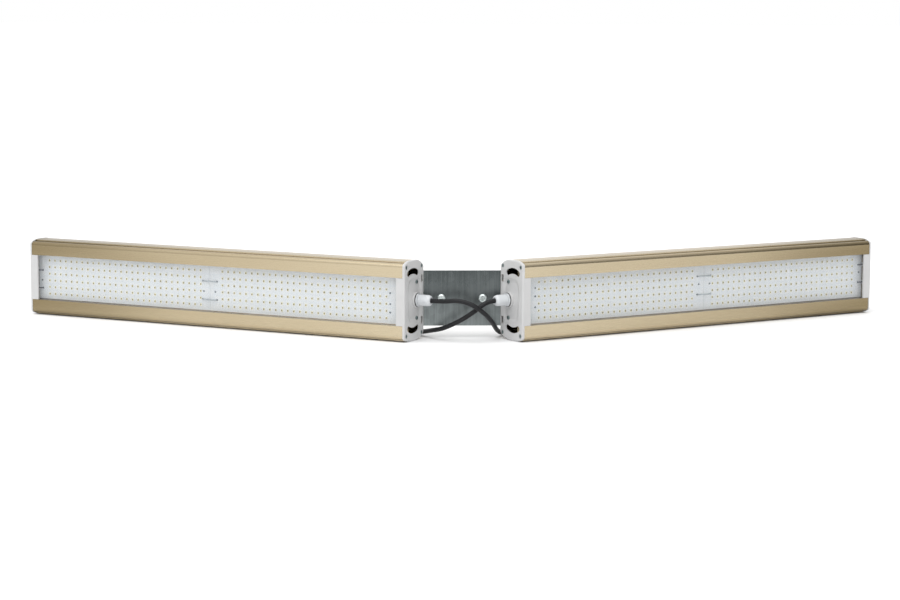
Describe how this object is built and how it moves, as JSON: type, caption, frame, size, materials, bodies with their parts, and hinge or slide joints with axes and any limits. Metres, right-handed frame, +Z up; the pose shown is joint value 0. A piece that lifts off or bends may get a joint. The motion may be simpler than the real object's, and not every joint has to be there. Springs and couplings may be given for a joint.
{
  "type": "led grow light",
  "caption": "V-shaped greenhouse grow light: slim gold-anodised LED bars with white end caps, joined by a bent galvanised plate, with gland-fed black cables.",
  "frame": {"origin": "on the surface the light stands on, below the middle of the pair of bars", "axes": "+X along the pair, +Y from the lit side to the back, +Z up"},
  "size_m": [1.2698, 0.3728, 0.1128],
  "materials": {
    "gold_anodised": "satin, champagne-gold anodised extrusion",
    "clear_plastic": "clear polycarbonate",
    "white_cap": "white moulding, satin",
    "zinc_steel": "bright zinc plate",
    "galvanised_steel": "galvanised sheet with vertical streaks",
    "white_board": "white solder mask on aluminium",
    "led_package": "cream LED package with yellow phosphor",
    "white_wire": "pale wire insulation",
    "dark_wire": "dark wire insulation",
    "driver_case": "plain aluminium case",
    "white_nylon": "white nylon",
    "seal_rubber": "black rubber",
    "black_sheath": "black flexible sheath, slightly glossy",
    "tie_plastic": "black nylon strap",
    "core_insulation": "core insulation: brown, blue, green-yellow"
  },
  "bodies": {
    "luminaire": {"left_housing": "gold_anodised", "right_housing": "gold_anodised", "left_clear_cover": "clear_plastic", "right_clear_cover": "clear_plastic", "left_inner_end_cap": "white_cap", "right_inner_end_cap": "white_cap", "left_outer_end_cap": "white_cap", "right_outer_end_cap": "white_cap", "left_inner_cap_screws": "zinc_steel", "right_inner_cap_screws": "zinc_steel", "left_outer_cap_screws": "zinc_steel", "right_outer_cap_screws": "zinc_steel", "left_led_board_inner": "white_board", "right_led_board_inner": "white_board", "left_led_board_outer": "white_board", "right_led_board_outer": "white_board", "left_leds_inner": "led_package", "right_leds_inner": "led_package", "left_leds_outer": "led_package", "right_leds_outer": "led_package", "left_jumper_wires": "white_wire", "right_jumper_wires": "white_wire", "left_supply_wires": "dark_wire", "right_supply_wires": "dark_wire", "left_driver_tray": "galvanised_steel", "right_driver_tray": "galvanised_steel", "left_driver": "driver_case", "right_driver": "driver_case", "left_driver_screws": "zinc_steel", "right_driver_screws": "zinc_steel", "left_driver_leads": "dark_wire", "right_driver_leads": "dark_wire", "left_terminal_block": "white_nylon", "right_terminal_block": "white_nylon", "left_gland_body": "white_nylon", "right_gland_body": "white_nylon", "left_gland_locknut": "white_nylon", "right_gland_locknut": "white_nylon", "left_gland_gasket": "seal_rubber", "right_gland_gasket": "seal_rubber", "left_gland_seal": "seal_rubber", "right_gland_seal": "seal_rubber", "left_cable_entry": "black_sheath", "right_cable_entry": "black_sheath", "left_slot_bolts": "zinc_steel", "right_slot_bolts": "zinc_steel", "left_slot_nuts": "zinc_steel", "right_slot_nuts": "zinc_steel", "left_cable": "black_sheath", "right_cable": "black_sheath", "left_cable_coil": "black_sheath", "right_cable_coil": "black_sheath", "left_coil_tie": "tie_plastic", "right_coil_tie": "tie_plastic", "left_cable_cores": "core_insulation", "right_cable_cores": "core_insulation", "bracket_plate": "galvanised_steel", "centre_bolts": "zinc_steel", "centre_washers": "zinc_steel", "centre_nuts": "zinc_steel"},
    "left_gland_nut": {"left_gland_nut": "white_nylon"},
    "right_gland_nut": {"right_gland_nut": "white_nylon"}
  },
  "joints": [
    {"name": "left_gland_nut_turn", "type": "hinge", "parent": "luminaire", "child": "left_gland_nut", "pos_m": [-0.05021, -0.16037, 0.0564], "axis": [0.866, -0.5, 0], "range_deg": [0, 450]},
    {"name": "right_gland_nut_turn", "type": "hinge", "parent": "luminaire", "child": "right_gland_nut", "pos_m": [0.05021, -0.16037, 0.0564], "axis": [-0.866, -0.5, 0], "range_deg": [0, 450]}
  ]
}
